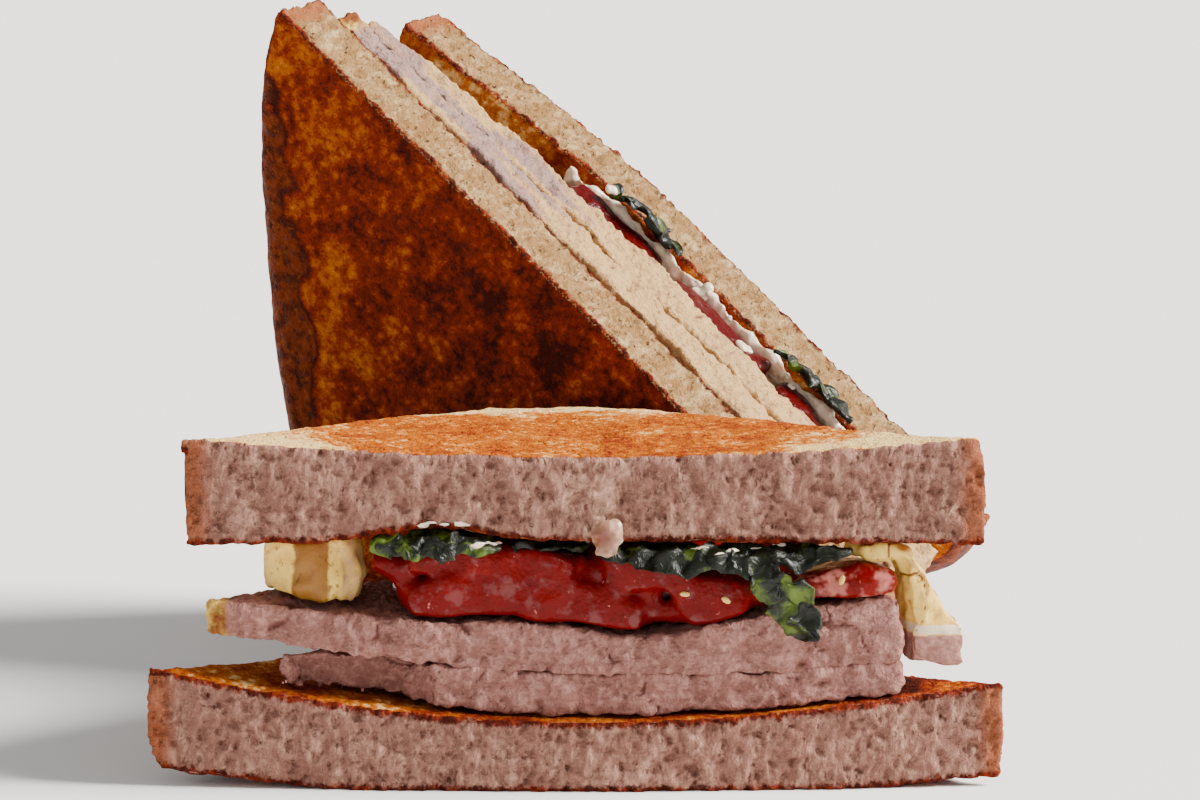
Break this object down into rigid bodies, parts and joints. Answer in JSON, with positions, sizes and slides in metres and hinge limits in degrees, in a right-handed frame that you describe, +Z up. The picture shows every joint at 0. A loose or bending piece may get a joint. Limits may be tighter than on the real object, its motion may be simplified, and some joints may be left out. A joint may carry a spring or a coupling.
{
  "type": "turkey sandwich",
  "caption": "Toasted turkey sandwich cut into two triangles, with tomato, dark lettuce and mayonnaise: one half lies flat, the other leans behind it.",
  "frame": {"origin": "under the middle of the whole sandwich's box, on the surface it rests on", "axes": "+X along the cut face of the lying half, which faces -Y; +Z up"},
  "size_m": [0.178, 0.1712, 0.1444],
  "materials": {
    "toasted_bread": "dry and porous, browned on the toasted faces and crust",
    "turkey": "moist satin",
    "roasted_edge": "moist satin",
    "tomato": "wet gloss",
    "leaf": "waxy satin",
    "mayonnaise": "smooth gloss"
  },
  "bodies": {
    "root": {"front_bread_bottom": "toasted_bread", "front_bread_top": "toasted_bread", "rear_bread_outer": "toasted_bread", "rear_bread_inner": "toasted_bread", "front_turkey_lower": "turkey", "front_turkey_upper": "turkey", "rear_turkey_outer": "turkey", "rear_turkey_inner": "turkey", "front_turkey_edge_left": "roasted_edge", "front_turkey_edge_right": "roasted_edge", "front_tomato_lower": "tomato", "front_tomato_upper": "tomato", "front_tomato_middle": "tomato", "front_tomato_right": "tomato", "front_tomato_back": "tomato", "rear_tomato_1": "tomato", "rear_tomato_2": "tomato", "rear_tomato_3": "tomato", "rear_tomato_4": "tomato", "front_leaf_left": "leaf", "front_leaf_dark": "leaf", "front_leaf_right": "leaf", "front_leaf_hanging": "leaf", "rear_leaf_1": "leaf", "rear_leaf_2": "leaf", "front_mayonnaise_drip": "mayonnaise", "front_mayonnaise": "mayonnaise", "rear_mayonnaise": "mayonnaise"}
  },
  "joints": []
}
